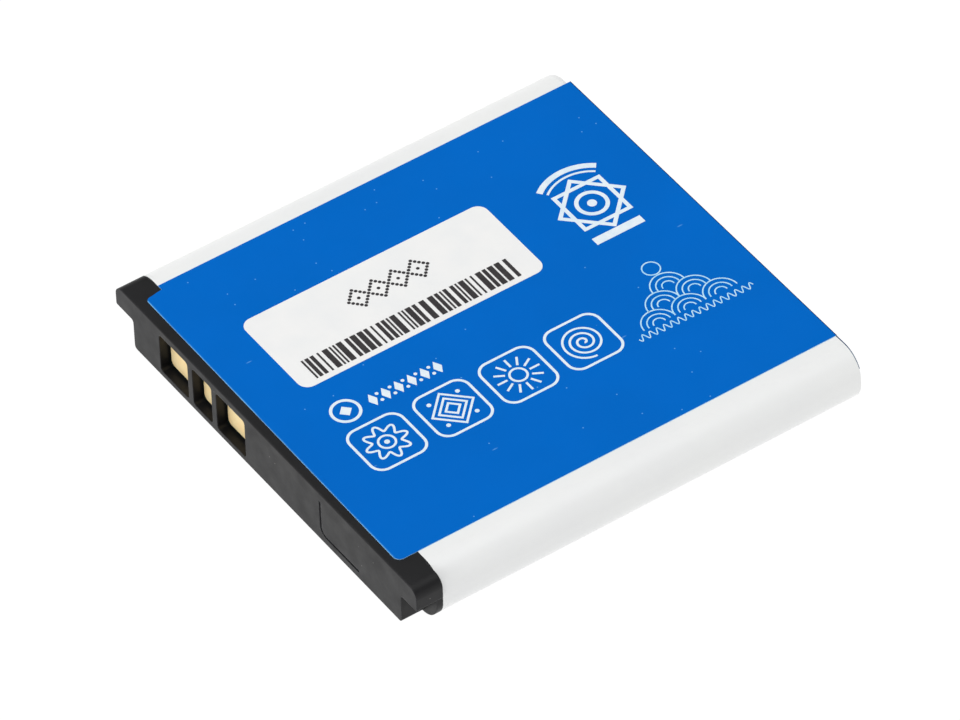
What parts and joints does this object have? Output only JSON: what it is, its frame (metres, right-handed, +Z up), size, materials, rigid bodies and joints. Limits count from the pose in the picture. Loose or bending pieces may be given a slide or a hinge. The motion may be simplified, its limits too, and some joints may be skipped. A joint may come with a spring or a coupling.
{
  "type": "mobile phone battery",
  "caption": "Flat rechargeable phone battery with round sides, a blue face label, a white film sleeve and a black end cap with windows for its gold contacts.",
  "frame": {"origin": "middle of the flat underside, between the two round sides and the two ends", "axes": "+Z up from the underside to the labelled face, contacts facing -Y, +X across the pack towards the wider bare strip beside the label"},
  "size_m": [0.0442, 0.044, 0.0054],
  "materials": {
    "can_aluminium": "drawn, satin",
    "moulded_black": "moulded, satin",
    "sleeve_film": "shrunk film, satin",
    "label_blue": "printed film, satin",
    "print_white": "printed",
    "print_dark": "printed",
    "print_pale": "printed",
    "contact_gold": "gold plated, satin",
    "nickel": "rolled nickel",
    "rivet_nickel": "nickel plated",
    "gasket_plastic": "moulded",
    "insulating_paper": "calendered",
    "fuse_polymer": "coated",
    "board_laminate": "solder resist",
    "chip_epoxy": "moulded",
    "resistor_ceramic": "glazed film",
    "capacitor_ceramic": "fired"
  },
  "bodies": {
    "root": {"cell_can": "can_aluminium", "terminal_gasket": "gasket_plastic", "terminal_rivet": "rivet_nickel", "lid_insulator": "insulating_paper", "thermal_fuse": "fuse_polymer", "rivet_tab": "nickel", "fuse_tab": "nickel", "plus_tab": "nickel", "minus_plate": "nickel", "plus_plate": "nickel", "contact_holder": "moulded_black", "circuit_board": "board_laminate", "protection_chip": "chip_epoxy", "switch_chip": "chip_epoxy", "chip_resistors": "resistor_ceramic", "chip_capacitors": "capacitor_ceramic", "minus_contact": "contact_gold", "sense_contact": "contact_gold", "plus_contact": "contact_gold", "film_sleeve": "sleeve_film", "face_label": "label_blue", "print_panel": "print_white", "print_stripes": "print_dark", "print_frames": "print_pale"}
  },
  "joints": []
}
